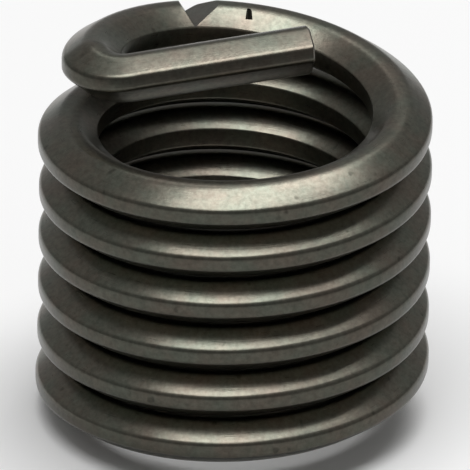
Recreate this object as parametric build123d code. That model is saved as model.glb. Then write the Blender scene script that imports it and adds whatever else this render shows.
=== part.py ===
from build123d import *
import math
import os

# Helical thread insert: one length of diamond-section wire wound into a right-hand coil.
# The outer crests screw into a tapped hole, and the inner crests are the bolt's new thread.
# The last turn lifts and tightens, then bends across the bore as the driving tang,
# with a V notch in the wire before the bend, where the tang snaps off.
# Z is the thread axis, z = 0 the plane that the free coil stands on, the tang is at the top.
# Angles are in degrees, counterclockwise from +X seen from above. Sizes are in mm.

# the thread
pitch = 1.0
bore_diameter = 5.32
body_turns = 5.7
turn_gap = 0.06

# the wire: a rhombus with all four corners cut off flat, most of all at the bore,
# and the outer crest bevelled too; turn_gap is the clearance between neighbouring turns
wire_width = pitch - turn_gap
outer_depth = 0.61
inner_depth = 0.55
crest_flat = 0.16
crest_bevel = 0.07
inner_flat = 0.24
shoulder_flat = 0.14

# the end turn, which opens up from the body and tightens towards the tang
body_end_angle = -20.0
tang_bend_angle = 182.5
end_turn_lift = 0.67
lift_power = 1.2
end_turn_tighten = 0.41
tighten_power = 1.65

# the tang
bend_radius = 0.68
tang_heading = 12.0
tang_slope = 0.07
tang_length = 3.46
tang_roll = 30.0

# the notch that the tang breaks off at
notch_angle = 108.0
notch_depth = 0.37
notch_steep_width = 0.22
notch_ramp_width = 0.70
notch_tilt = 9.0
notch_skew = 11.0

# how the model is built: the body is one short length of wire, reamed to the bore and repeated
segment_span = 60.0
bore_stock = 0.03
end_turn_step = 10.0
bend_step = 9.0

bore_radius = bore_diameter / 2
centre_radius = bore_radius + inner_depth
base_height = wire_width / 2
lower_end_angle = body_end_angle - 360 * body_turns
end_turn_span = tang_bend_angle - body_end_angle
up = Vector(0, 0, 1)


def wire_profile(depth_in):
    """The wire's section, X away from the thread axis and Y along it, from the wire's centre."""
    half = wire_width / 2
    flank = (half - inner_flat / 2) / (inner_depth - shoulder_flat / 2)
    half_inner = inner_flat / 2 - flank * (depth_in - inner_depth)
    outline = Polyline(
        (outer_depth, crest_flat / 2),
        (outer_depth - crest_bevel, crest_flat / 2 + crest_bevel),
        (shoulder_flat / 2, half),
        (-shoulder_flat / 2, half),
        (-depth_in, half_inner),
        (-depth_in, -half_inner),
        (-shoulder_flat / 2, -half),
        (shoulder_flat / 2, -half),
        (outer_depth - crest_bevel, -crest_flat / 2 - crest_bevel),
        (outer_depth, -crest_flat / 2),
        close=True,
    )
    return make_face(outline)


def section_plane(centre, heading, roll):
    """The upright plane across the wire, X outward, with the outer crest raised by the roll."""
    a = math.radians(heading)
    along = Vector(math.cos(a), math.sin(a), 0)
    outward = Vector(math.sin(a), -math.cos(a), 0)
    r = math.radians(roll)
    return Plane(origin=centre, x_dir=outward * math.cos(r) + up * math.sin(r), z_dir=-along)


def coil_point(angle):
    """The wire's centre on the coil, body and end turn."""
    a = math.radians(angle)
    opened = max(0.0, (angle - body_end_angle) / end_turn_span)
    radius = centre_radius - end_turn_tighten * opened**tighten_power
    rise = pitch * (angle - lower_end_angle) / 360 + end_turn_lift * opened**lift_power
    return Vector(radius * math.cos(a), radius * math.sin(a), base_height + rise)


def coil_direction(angle):
    """The wire's heading seen from above, and how fast it climbs as it goes round."""
    opened = max(0.0, (angle - body_end_angle) / end_turn_span)
    span = math.radians(end_turn_span)
    radius = centre_radius - end_turn_tighten * opened**tighten_power
    inward = tighten_power * end_turn_tighten * opened ** (tighten_power - 1) / span
    climb = pitch / math.tau + lift_power * end_turn_lift * opened ** (lift_power - 1) / span
    return angle + 90 + math.degrees(math.atan2(inward, radius)), climb / math.hypot(inward, radius)


def loft_wire(wire_sections):
    """A smooth stretch of wire through its sections."""
    return Solid.make_loft([section.face().outer_wire() for section in wire_sections])


# body: one segment of the coil, reamed to the bore, then turned and raised along the thread
segments = math.ceil(360 * body_turns / segment_span)
segment_angle = 360 * body_turns / segments
spine = Helix(pitch, pitch * segment_angle / 360, centre_radius, center=(0, 0, base_height))
spine = Rot(0, 0, lower_end_angle) * spine
lower_end = section_plane(coil_point(lower_end_angle), lower_end_angle + 90, 0)
stock = sweep(lower_end * wire_profile(inner_depth + bore_stock), path=spine, is_frenet=True)
reamer = Cylinder(bore_radius, 4 * (wire_width + pitch))
segment = stock.solid().cut(reamer.solid())
coil = []
for k in range(segments):
    screw = Pos(0, 0, pitch * segment_angle / 360 * k) * Rot(0, 0, segment_angle * k)
    coil.append(screw * segment)
body = coil[0].fuse(*coil[1:])

# end turn: a loft through upright sections, the first of them the body's own last section
end_turn_sections = []
steps = round(end_turn_span / end_turn_step)
for k in range(steps + 1):
    angle = body_end_angle + end_turn_span * k / steps
    plane = section_plane(coil_point(angle), coil_direction(angle)[0], 0)
    end_turn_sections.append(plane * wire_profile(inner_depth))
end_turn = loft_wire(end_turn_sections)

# bend: a tight arc seen from above, along which the wire levels out and rolls its crest up
bend_start = coil_point(tang_bend_angle)
bend_heading, bend_slope = coil_direction(tang_bend_angle)
bend_turn = tang_heading + 360 - bend_heading
bend_length = math.radians(bend_turn) * bend_radius
bend_sections = [end_turn_sections[-1]]
steps = round(bend_turn / bend_step)
for k in range(1, steps + 1):
    share = k / steps
    heading = bend_heading + bend_turn * share
    a0 = math.radians(bend_heading)
    a1 = math.radians(heading)
    x = bend_radius * (math.sin(a1) - math.sin(a0))
    y = bend_radius * (math.cos(a0) - math.cos(a1))
    z = bend_length * share * (bend_slope + (tang_slope - bend_slope) * share / 2)
    plane = section_plane(bend_start + Vector(x, y, z), heading, tang_roll * share)
    bend_sections.append(plane * wire_profile(inner_depth))
bend = loft_wire(bend_sections)

# tang: the last section carried straight across the bore, and cut off square
a = math.radians(tang_heading)
tang_direction = Vector(math.cos(a), math.sin(a), tang_slope)
tang = Solid.extrude(bend_sections[-1].face(), tang_direction * tang_length)
wire = body.fuse(end_turn, bend, tang)

# notch: a saw-tooth groove across the top of the wire, steep on the tang's side, a little askew
notch_heading = math.radians(coil_direction(notch_angle)[0] - notch_skew)
along = Vector(math.cos(notch_heading), math.sin(notch_heading), 0)
tilt = math.radians(notch_tilt)
floor_line = Vector(along.Y, -along.X, 0) * math.cos(tilt) - up * math.sin(tilt)
tooth_plane = Plane(origin=coil_point(notch_angle), x_dir=along, z_dir=floor_line)
root = wire_width / 2 - notch_depth
tooth = Polyline(
    (0, root),
    (2 * notch_steep_width, root + 2 * notch_depth),
    (-2 * notch_ramp_width, root + 2 * notch_depth),
    close=True,
)
groove = extrude(tooth_plane * make_face(tooth), amount=2 * outer_depth, both=True)
insert = wire.cut(groove.solid())

os.makedirs("parts", exist_ok=True)
export_step(insert, "parts/thread_insert.step")
print("volumes", body.volume, end_turn.volume, bend.volume, tang.volume, wire.volume, insert.volume)
print("valid", insert.is_valid, "faces", len(insert.faces()), "solids", len(insert.solids()), "box", insert.bounding_box())
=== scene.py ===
import math

import bmesh
import bpy
from mathutils import Matrix, Vector


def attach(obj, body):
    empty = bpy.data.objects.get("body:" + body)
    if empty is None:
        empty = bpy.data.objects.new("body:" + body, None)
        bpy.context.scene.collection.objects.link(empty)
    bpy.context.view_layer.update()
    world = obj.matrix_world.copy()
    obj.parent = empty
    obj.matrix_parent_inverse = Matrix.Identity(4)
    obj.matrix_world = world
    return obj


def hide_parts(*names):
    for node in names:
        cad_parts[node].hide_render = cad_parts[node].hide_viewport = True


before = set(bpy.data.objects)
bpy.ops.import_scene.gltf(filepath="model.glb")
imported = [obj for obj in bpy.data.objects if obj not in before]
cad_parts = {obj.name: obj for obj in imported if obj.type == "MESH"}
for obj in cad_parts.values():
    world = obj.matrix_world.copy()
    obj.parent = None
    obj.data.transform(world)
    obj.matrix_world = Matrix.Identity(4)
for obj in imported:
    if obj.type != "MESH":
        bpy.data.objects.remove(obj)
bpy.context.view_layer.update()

scene = bpy.context.scene
scene.view_settings.view_transform = "Standard"

MM = 0.001
UP = Vector((0, 0, 1))

# ---------------------------------------------------------------- sizes, in millimetres and degrees
# the wire's section: a diamond with a flat at each corner, and the flats' corners rounded
PITCH = 1.0
TURN_GAP = 0.06
WIRE_WIDTH = PITCH - TURN_GAP
INNER_DEPTH, OUTER_DEPTH = 0.55, 0.61
INNER_FLAT, SHOULDER_FLAT, CREST_FLAT = 0.36, 0.30, 0.28
INNER_ROUND, SHOULDER_ROUND, CREST_ROUND = 0.05, 0.34, 0.14
ARC_STEPS = 4

# the coil, from its lower end at the back up to the bend; past BODY_END the end turn lifts off
# the turn below and tightens
BORE_RADIUS = 2.66
CENTRE_RADIUS = BORE_RADIUS + INNER_DEPTH
BODY_TURNS = 5.7
BODY_END = -20.0
LOWER_END = BODY_END - 360 * BODY_TURNS
BEND_ANGLE = 178.0
END_LIFT, LIFT_POWER = 0.66, 1.1
END_TIGHTEN, TIGHTEN_POWER = 0.41, 1.65
COIL_STEP = 2.5
HEADING_STEP = 0.01

# a free coil is never quite even: the lowest turns are a little wider, one place below the bend
# bulges outward, and the turns lean more and more with height, raised at the back
FLARE, FLARE_SPAN, FLARE_POWER = 0.04, 620.0, 1.5
BULGE_ANGLE, BULGE_SPAN, BULGE_OUT = -205.0, 30.0, 0.065
LEAN, LEAN_AZIMUTH, LEAN_TOP, LEAN_POWER = 0.14, 98.0, -90.0, 1.5

# the bend and the tang, in which the wire rolls its outer crest up
BEND_RADIUS = 0.67
BEND_SAG, BEND_DROP = 0.03, 0.12
BEND_STEPS = 48
TANG_HEADING = 12.0
TANG_SLOPE = 0.09
TANG_LENGTH = 3.45
TANG_ROLL = 17.0
TANG_STEPS = 40

# the wire's two ends are broken over: the last END_BREAK of it narrows to END_SCALE
END_BREAK, END_SCALE = 0.035, 0.93

# the saw-tooth notch where the tang breaks off, with one steep side and one long ramp, cut
# NOTCH_REACH to each side of the wire's middle
NOTCH_ANGLE = 108.0
NOTCH_DEPTH = 0.37
NOTCH_STEEP, NOTCH_RAMP = 0.22, 0.70
NOTCH_TILT, NOTCH_SKEW = 9.0, 11.0
NOTCH_REACH = 1.2

# a tool's nick, down the inner upper flank of the end turn behind the tang
NICK_ANGLE, NICK_WIDTH, NICK_LENGTH, NICK_DEPTH = 86.0, 0.19, 0.26, 0.08
NICK_ABOVE, NICK_BACK, NICK_TAPER = 0.08, 0.02, 0.7

# edges sharper than this are shaded as edges
SHARP_ANGLE = 35.0

# where faces that a cutter makes lie on the wire's map: on a plain flank, or in the nick's own
# place before the wire's start, where the material paints shade into the nick
NOTCH_MARK, NICK_MARK = (0.5, 0.7), (-2.0, 0.7)


def finished(mesh, name):
    """Mesh data made from a bmesh, which is freed."""
    data = bpy.data.meshes.new(name)
    mesh.to_mesh(data)
    mesh.free()
    return data


def placed(name, data):
    """A new object in the scene."""
    thing = bpy.data.objects.new(name, data)
    scene.collection.objects.link(thing)
    return thing


# ---------------------------------------------------------------- the wire's section
def rounded(corners, radii):
    """A closed outline with an arc of the given radius at each corner."""
    points = []
    for i, (corner, radius) in enumerate(zip(corners, radii)):
        here = Vector(corner)
        back = (Vector(corners[i - 1]) - here).normalized()
        ahead = (Vector(corners[(i + 1) % len(corners)]) - here).normalized()
        half = back.angle(ahead) / 2
        centre = here + (back + ahead).normalized() * radius / math.sin(half)
        first = here + back * radius / math.tan(half) - centre
        last = here + ahead * radius / math.tan(half) - centre
        start = math.atan2(first.y, first.x)
        sweep = math.remainder(math.atan2(last.y, last.x) - start, math.tau)
        for k in range(ARC_STEPS + 1):
            t = start + sweep * k / ARC_STEPS
            points.append((centre.x + radius * math.cos(t), centre.y + radius * math.sin(t)))
    return points


def wire_section():
    """The closed outline, X outward from the thread axis, Y up, counterclockwise.

    Corners 0 and 1 are the outer crest, 2 and 3 the upper shoulder, 4 and 5 the inner crest,
    6 and 7 the lower shoulder.
    """
    half, crest, bore, shoulder = WIRE_WIDTH / 2, CREST_FLAT / 2, INNER_FLAT / 2, SHOULDER_FLAT / 2
    corners = [(OUTER_DEPTH, -crest), (OUTER_DEPTH, crest), (shoulder, half), (-shoulder, half),
               (-INNER_DEPTH, bore), (-INNER_DEPTH, -bore), (-shoulder, -half), (shoulder, -half)]
    radii = [CREST_ROUND, CREST_ROUND, SHOULDER_ROUND, SHOULDER_ROUND,
             INNER_ROUND, INNER_ROUND, SHOULDER_ROUND, SHOULDER_ROUND]
    return rounded(corners, radii)


def distances_round(outline):
    """How far each point of a closed outline lies along it, from the first and back to it."""
    travelled = [0.0]
    closed = outline + outline[:1]
    for (x0, y0), (x1, y1) in zip(closed, closed[1:]):
        travelled.append(travelled[-1] + math.hypot(x1 - x0, y1 - y0))
    return travelled


SECTION = wire_section()
AROUND = distances_round(SECTION)


def arc_span(corner):
    """Where the arc at one of the section's corners starts and ends, in distance round it."""
    first = corner * (ARC_STEPS + 1)
    return AROUND[first], AROUND[first + ARC_STEPS]


CREST_END = arc_span(1)[1]
UPPER_SHOULDER = (arc_span(2)[0] + arc_span(3)[1]) / 2
LOWER_SHOULDER = (arc_span(6)[0] + arc_span(7)[1]) / 2


# ---------------------------------------------------------------- the wire's path
def coil_point(angle):
    a = math.radians(angle)
    opened = max(0.0, (angle - BODY_END) / (BEND_ANGLE - BODY_END))
    low = max(0.0, 1 - (angle - LOWER_END) / FLARE_SPAN)
    radius = CENTRE_RADIUS - END_TIGHTEN * opened ** TIGHTEN_POWER
    bulge = math.exp(-((angle - BULGE_ANGLE) / BULGE_SPAN) ** 2)
    radius += FLARE * low ** FLARE_POWER + BULGE_OUT * bulge
    rise = PITCH * (angle - LOWER_END) / 360 + END_LIFT * opened ** LIFT_POWER
    if angle < LEAN_TOP:
        side = (1 + math.cos(math.radians(angle - LEAN_AZIMUTH))) / 2
        rise += LEAN * side ** LEAN_POWER * (angle - LOWER_END) / (LEAN_TOP - LOWER_END)
    return Vector((radius * math.cos(a), radius * math.sin(a), WIRE_WIDTH / 2 + rise))


def coil_heading(angle):
    """The wire's heading seen from above, and how fast it climbs as it goes round."""
    step = coil_point(angle) - coil_point(angle - HEADING_STEP)
    turn = math.atan2(step.y, step.x)
    square = math.radians(angle + 90)
    heading = square + math.remainder(turn - square, math.tau)
    return heading, step.z / math.hypot(step.x, step.y)


def level_axes(heading):
    """Along the wire and outward from the thread axis, both level."""
    along = Vector((math.cos(heading), math.sin(heading), 0))
    return along, Vector((along.y, -along.x, 0))


def coil_stations():
    steps = round((BEND_ANGLE - LOWER_END) / COIL_STEP)
    angles = [LOWER_END + (BEND_ANGLE - LOWER_END) * k / steps for k in range(steps + 1)]
    angles.insert(1, LOWER_END + math.degrees(END_BREAK / CENTRE_RADIUS))
    return [(coil_point(angle), coil_heading(angle)[0], 0.0) for angle in angles]


def bend_stations():
    start = coil_point(BEND_ANGLE)
    first, slope = coil_heading(BEND_ANGLE)
    turn = math.radians(TANG_HEADING + 360) - first
    length = turn * BEND_RADIUS
    out = []
    for k in range(1, BEND_STEPS + 1):
        share = k / BEND_STEPS
        heading = first + turn * share
        x = BEND_RADIUS * (math.sin(heading) - math.sin(first))
        y = BEND_RADIUS * (math.cos(first) - math.cos(heading))
        z = length * share * (slope + (TANG_SLOPE - slope) * share / 2)
        z -= BEND_SAG * math.sin(math.pi * share) ** 2 + BEND_DROP * share * share * (3 - 2 * share)
        out.append((start + Vector((x, y, z)), heading, math.radians(TANG_ROLL) * share))
    return out


def tang_stations(corner):
    heading = math.radians(TANG_HEADING)
    direction = Vector((math.cos(heading), math.sin(heading), TANG_SLOPE))
    lengths = [TANG_LENGTH * k / TANG_STEPS for k in range(1, TANG_STEPS + 1)]
    lengths.insert(-1, TANG_LENGTH - END_BREAK)
    return [(corner + direction * length, heading, math.radians(TANG_ROLL)) for length in lengths]


def stations():
    """(centre, heading in radians, roll in radians) along the whole wire."""
    out = coil_stations() + bend_stations()
    return out + tang_stations(out[-1][0])


def ring_points(centre, heading, roll, scale=1.0):
    outward = level_axes(heading)[1]
    axis_x = outward * math.cos(roll) + UP * math.sin(roll)
    axis_y = UP * math.cos(roll) - outward * math.sin(roll)
    return [centre + (axis_x * x + axis_y * y) * scale for x, y in SECTION]


def build_wire(name):
    """The whole wire, with a map that runs along it in U and round its section in V, in
    millimetres, V starting at the lower corner of the outer crest."""
    path = stations()
    rows = [ring_points(*station) for station in path]
    rows[0] = ring_points(*path[0], scale=END_SCALE)
    rows[-1] = ring_points(*path[-1], scale=END_SCALE)
    travelled = [0.0]
    for before, after in zip(path, path[1:]):
        travelled.append(travelled[-1] + (after[0] - before[0]).length)
    mesh = bmesh.new()
    layer = mesh.loops.layers.uv.new("along_wire")
    grid = [[mesh.verts.new(p * MM) for p in row] for row in rows]
    n = len(SECTION)
    for i in range(len(grid) - 1):
        for j in range(n):
            k = (j + 1) % n
            corners = [(i, j), (i, k), (i + 1, k), (i + 1, j)]
            face = mesh.faces.new([grid[r][c] for r, c in corners])
            sides = [j, j + 1, j + 1, j]
            for loop, (r, c), side in zip(face.loops, corners, sides):
                loop[layer].uv = (travelled[r], AROUND[side])
    for end in (0, len(grid) - 1):
        centre = path[end][0]
        face = mesh.faces.new(grid[end])
        for loop in face.loops:
            offset = loop.vert.co / MM - centre
            loop[layer].uv = (travelled[end] + offset.length, offset.z)
    bmesh.ops.recalc_face_normals(mesh, faces=mesh.faces)
    return placed(name, finished(mesh, name))


# ---------------------------------------------------------------- the cuts
def cut(piece, cutter_mesh):
    cutter = placed("cutter", cutter_mesh)
    modifier = piece.modifiers.new("cut", "BOOLEAN")
    modifier.operation = "DIFFERENCE"
    modifier.solver = "EXACT"
    modifier.object = cutter
    bpy.context.view_layer.update()
    evaluated = piece.evaluated_get(bpy.context.evaluated_depsgraph_get())
    result = bpy.data.meshes.new_from_object(evaluated)
    piece.modifiers.clear()
    piece.data = result
    bpy.data.objects.remove(cutter)


def prism(outline, origin, axes, half_length, mark, taper=1.0):
    """A prism whose outline lies in the plane of the first two axes, with its first end scaled
    by taper. The faces that it cuts get the place on the wire's map that mark gives."""
    axis_x, axis_y, axis_z = axes
    mesh = bmesh.new()
    layer = mesh.loops.layers.uv.new("along_wire")
    ends = []
    for side, size in ((-half_length, taper), (half_length, 1.0)):
        ends.append([
            mesh.verts.new((origin + (axis_x * x + axis_y * y) * size + axis_z * side) * MM)
            for x, y in outline])
    mesh.faces.new(ends[0])
    mesh.faces.new(list(reversed(ends[1])))
    n = len(outline)
    for j in range(n):
        k = (j + 1) % n
        mesh.faces.new([ends[0][j], ends[1][j], ends[1][k], ends[0][k]])
    bmesh.ops.recalc_face_normals(mesh, faces=mesh.faces)
    for face in mesh.faces:
        for loop in face.loops:
            loop[layer].uv = mark
    return finished(mesh, "prism")


def cut_notch(piece):
    """The tooth is drawn twice as large as the notch, from its root, so that it clears the wire."""
    along, outward = level_axes(coil_heading(NOTCH_ANGLE)[0] - math.radians(NOTCH_SKEW))
    tilt = math.radians(NOTCH_TILT)
    across = outward * math.cos(tilt) - UP * math.sin(tilt)
    rise = across.cross(along)
    root = WIRE_WIDTH / 2 - NOTCH_DEPTH
    tooth = [(0, root), (2 * NOTCH_STEEP, root + 2 * NOTCH_DEPTH),
             (-2 * NOTCH_RAMP, root + 2 * NOTCH_DEPTH)]
    axes = (along, rise, across)
    cut(piece, prism(tooth, coil_point(NOTCH_ANGLE), axes, NOTCH_REACH, NOTCH_MARK))


def cut_nick(piece):
    """A lopsided groove, wider at its lower end, cut square into the flank."""
    along, outward = level_axes(coil_heading(NICK_ANGLE)[0])
    run = Vector((-INNER_DEPTH + SHOULDER_FLAT / 2, INNER_FLAT / 2 - WIRE_WIDTH / 2)).normalized()
    down = outward * run.x + UP * run.y
    facing = outward * run.y - UP * run.x
    shoulder = coil_point(NICK_ANGLE) - outward * (SHOULDER_FLAT / 2) + UP * (WIRE_WIDTH / 2)
    w = NICK_WIDTH / 2
    outline = [(-w, NICK_ABOVE), (-0.8 * w, -0.2 * NICK_DEPTH), (0.2 * w, -NICK_DEPTH),
               (w, NICK_ABOVE)]
    middle = shoulder + down * (NICK_LENGTH / 2 - NICK_BACK)
    axes = (along, facing, down)
    cut(piece, prism(outline, middle, axes, NICK_LENGTH / 2, NICK_MARK, taper=NICK_TAPER))


wire = build_wire("insert_wire")
cut_notch(wire)
cut_nick(wire)
for polygon in wire.data.polygons:
    polygon.use_smooth = True
wire.data.set_sharp_from_angle(angle=math.radians(SHARP_ANGLE))


# ---------------------------------------------------------------- materials
# noise textures: scale, detail and roughness, the first three at scales per metre
BLOTCHES = (1100.0, 4.0, 0.65)
GRAIN = (9000.0, 3.0, 0.7)
SPECKS = (4200.0, 1.0, 0.5)
DRAWN = (1.0, 4.0, 0.6)
# an oxide film in two greys about a millimetre across, a fine grain, and sparse dark specks;
# each range is the part of its noise over which the change happens
REDDISH_GREY, GREENISH_GREY = (0.180, 0.157, 0.127, 1), (0.158, 0.166, 0.134, 1)
BLOTCH_RANGE, GRAIN_RANGE, SPECK_RANGE = (0.36, 0.64), (0.3, 0.7), (0.71, 0.79)
GRAIN_DARK, GRAIN_LIGHT = 0.80, 1.22
SPECK_SHADE = 0.65
# how far the colour is darkened, and the millimetres over which that fades: painted shade in the
# grooves where one turn lies on the next, painted shade on the outer crest in place of a darker
# reflection, and painted shade inside the nick
GROOVE_PAINTED_SHADE, GROOVE_FULL, GROOVE_FADE = 0.65, 0.12, 0.42
CREST_PAINTED_SHADE, CREST_FADE_BELOW, CREST_FADE_ABOVE, CREST_EDGE = 0.46, 0.30, 0.12, 0.01
NICK_PAINTED_SHADE, NICK_NEAR, NICK_CLEAR = 0.35, 0.5, 1.0
COVERED_FADE = 1.5
# lines that the drawing die and the rollers leave along the wire, per millimetre along and round
# it, and the bumps that they and the grain make: strength, and height in metres
DRAWN_STRETCH = (1.2, 30.0, 1.0)
ROUGH_LOW, ROUGH_HIGH = 0.24, 0.34
LINE_BUMP, DIMPLE_BUMP = (0.12, 0.000012), (0.30, 0.000008)
# the length of wire, in millimetres, that has another turn above it
COVERED = math.radians(BEND_ANGLE - 360 - LOWER_END) * CENTRE_RADIUS

FLOOR_GREY = (0.89, 0.89, 0.89, 1)
FLOOR_HALF = 2.0


def new_material(name):
    material = bpy.data.materials.new(name)
    material.use_nodes = True
    tree = material.node_tree
    tree.nodes.clear()
    return material, tree


def add(tree, kind, **values):
    """A new node, with properties or unlinked inputs set by name."""
    node = tree.nodes.new(kind)
    for key, value in values.items():
        if hasattr(node, key):
            setattr(node, key, value)
        else:
            node.inputs[key.replace("_", " ")].default_value = value
    return node


def steel():
    material, tree = new_material("satin_steel")
    link = tree.links.new

    def noise(place, texture):
        scale, detail, roughness = texture
        node = add(tree, "ShaderNodeTexNoise", Scale=scale, Detail=detail, Roughness=roughness)
        link(place, node.inputs["Vector"])
        return node.outputs["Fac"]

    def remap(source, span, at_low, at_high, curve="LINEAR"):
        node = add(tree, "ShaderNodeMapRange", interpolation_type=curve, From_Min=span[0],
                   From_Max=span[1], To_Min=at_low, To_Max=at_high)
        link(source, node.inputs["Value"])
        return node.outputs["Result"]

    def fade(source, low, high, at_low, at_high):
        return remap(source, (low, high), at_low, at_high, "SMOOTHSTEP")

    def maths(operation, *values):
        node = add(tree, "ShaderNodeMath", operation=operation)
        for socket, value in zip(node.inputs, values):
            if isinstance(value, float):
                socket.default_value = value
            else:
                link(value, socket)
        return node.outputs[0]

    def bump(height, size, normal=None):
        strength, distance = size
        node = add(tree, "ShaderNodeBump", Strength=strength, Distance=distance)
        link(height, node.inputs["Height"])
        if normal:
            link(normal, node.inputs["Normal"])
        return node.outputs["Normal"]

    output = add(tree, "ShaderNodeOutputMaterial")
    shader = add(tree, "ShaderNodeBsdfPrincipled", Metallic=1.0)
    link(shader.outputs["BSDF"], output.inputs["Surface"])
    place = add(tree, "ShaderNodeTexCoord").outputs["Object"]
    wire_map = add(tree, "ShaderNodeUVMap", uv_map="along_wire").outputs["UV"]
    split = add(tree, "ShaderNodeSeparateXYZ")
    link(wire_map, split.inputs[0])
    along, around = split.outputs["X"], split.outputs["Y"]

    # the two greys
    tint = add(tree, "ShaderNodeValToRGB")
    ends = tint.color_ramp.elements
    ends[0].position, ends[1].position = BLOTCH_RANGE
    ends[0].color, ends[1].color = REDDISH_GREY, GREENISH_GREY
    link(noise(place, BLOTCHES), tint.inputs["Fac"])

    # grain and specks
    grain = noise(place, GRAIN)
    shade = remap(grain, GRAIN_RANGE, GRAIN_DARK, GRAIN_LIGHT)
    specks = remap(noise(place, SPECKS), SPECK_RANGE, 1.0, SPECK_SHADE)

    # painted shade in the grooves, on the outer crest and in the nick
    def near(shoulder):
        away = maths("ABSOLUTE", maths("SUBTRACT", around, shoulder))
        return fade(away, GROOVE_FULL, GROOVE_FADE, 1.0, 0.0)

    # painted shade in the grooves, only along turns that have another turn lying on them
    covered = fade(along, COVERED - COVERED_FADE, COVERED + COVERED_FADE, 1.0, 0.0)
    groove_shade_mask = maths("MAXIMUM", maths("MULTIPLY", near(UPPER_SHOULDER), covered), near(LOWER_SHOULDER))
    painted_groove_shade = fade(groove_shade_mask, 0.0, 1.0, 1.0, GROOVE_PAINTED_SHADE)
    # painted shade on the outer crest, standing in for a darker reflection there
    above_crest = fade(around, CREST_END - CREST_FADE_ABOVE, CREST_END + CREST_EDGE,
                       CREST_PAINTED_SHADE, 1.0)
    below_crest = fade(around, AROUND[-1] - CREST_FADE_BELOW, AROUND[-1], 1.0, CREST_PAINTED_SHADE)
    crest = maths("MINIMUM", above_crest, below_crest)
    # painted shade inside the nick
    nick_painted_shade = fade(along, NICK_MARK[0] + NICK_NEAR, NICK_MARK[0] + NICK_CLEAR, NICK_PAINTED_SHADE, 1.0)
    # the painted shade of grooves, crest and nick, multiplied into the colour
    painted_shade = maths("MULTIPLY", maths("MULTIPLY", painted_groove_shade, crest), nick_painted_shade)

    colour = add(tree, "ShaderNodeVectorMath", operation="SCALE")
    link(tint.outputs["Color"], colour.inputs[0])
    link(maths("MULTIPLY", maths("MULTIPLY", shade, specks), painted_shade), colour.inputs["Scale"])
    link(colour.outputs[0], shader.inputs["Base Color"])

    # the drawn lines, in roughness and height, and the grain's dimples
    stretch = add(tree, "ShaderNodeMapping", Scale=DRAWN_STRETCH)
    link(wire_map, stretch.inputs["Vector"])
    drawn = noise(stretch.outputs["Vector"], DRAWN)
    link(remap(drawn, (0.0, 1.0), ROUGH_LOW, ROUGH_HIGH), shader.inputs["Roughness"])
    link(bump(grain, DIMPLE_BUMP, bump(drawn, LINE_BUMP)), shader.inputs["Normal"])
    return material


wire.data.materials.clear()
wire.data.materials.append(steel())
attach(wire, "root")
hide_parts("thread_insert")


def floor_material():
    material, tree = new_material("pale_floor")
    output = add(tree, "ShaderNodeOutputMaterial")
    matt = add(tree, "ShaderNodeBsdfDiffuse", Color=FLOOR_GREY)
    tree.links.new(matt.outputs[0], output.inputs["Surface"])
    return material


def floor():
    mesh = bmesh.new()
    corners = [(-FLOOR_HALF, -FLOOR_HALF), (FLOOR_HALF, -FLOOR_HALF),
               (FLOOR_HALF, FLOOR_HALF), (-FLOOR_HALF, FLOOR_HALF)]
    mesh.faces.new([mesh.verts.new((x, y, 0)) for x, y in corners])
    piece = placed("floor", finished(mesh, "floor"))
    piece.data.materials.append(floor_material())


floor()


# ---------------------------------------------------------------- light, in metres and watts
LIT_POINT = Vector((0, 0, 0.005))
TOP_PLACE, TOP_SIZE, TOP_POWER = (0.010, -0.010, 0.20), (0.23, 0.12), 0.39
BACK_PLACE, BACK_SIZE, BACK_POWER = (0.010, 0.120, 0.19), (0.12, 0.08), 0.03
WORLD_GREY = (0.26, 0.26, 0.26, 1)


def softbox(name, place, size, power):
    data = bpy.data.lights.new(name, "AREA")
    data.shape = "RECTANGLE"
    data.size, data.size_y = size
    data.energy = power
    lamp = placed(name, data)
    lamp.location = place
    lamp.rotation_euler = (LIT_POINT - lamp.location).to_track_quat("-Z", "Y").to_euler()


softbox("top_box", TOP_PLACE, TOP_SIZE, TOP_POWER)
softbox("back_box", BACK_PLACE, BACK_SIZE, BACK_POWER)

world = bpy.data.worlds.new("studio")
world.use_nodes = True
background = world.node_tree.nodes["Background"]
background.inputs["Color"].default_value = WORLD_GREY
background.inputs["Strength"].default_value = 1.0
scene.world = world


# ---------------------------------------------------------------- camera
ELEVATION = math.radians(26.08)
ROLL = math.radians(0.94)
# in metres, from the camera to the point that it looks at
DISTANCE = 0.313
SENSOR = 36
# in millimetres: what the picture's width takes in at that distance, a point on the coil's axis,
# and how far right of it and above it the picture's centre lies
VIEW_WIDTH = 9.1618
LOOK_AT = Vector((0, 0, 3.443))
VIEW_RIGHT, VIEW_UP = 0.0144, 0.2846

forward = Vector((0, math.cos(ELEVATION), -math.sin(ELEVATION)))
level = Vector((1, 0, 0))
upright = Vector((0, math.sin(ELEVATION), math.cos(ELEVATION)))
right = level * math.cos(ROLL) + upright * math.sin(ROLL)
top = upright * math.cos(ROLL) - level * math.sin(ROLL)
middle = (LOOK_AT + right * VIEW_RIGHT + top * VIEW_UP) * MM

camera_data = bpy.data.cameras.new("camera")
camera_data.sensor_width = SENSOR
camera_data.lens = SENSOR * DISTANCE / (VIEW_WIDTH * MM)
camera_data.clip_start, camera_data.clip_end = 0.01, 10
camera = placed("camera", camera_data)
camera.matrix_world = Matrix.Translation(middle - forward * DISTANCE) @ Matrix(
    (right, top, -forward)).transposed().to_4x4()
scene.camera = camera

bpy.context.view_layer.update()
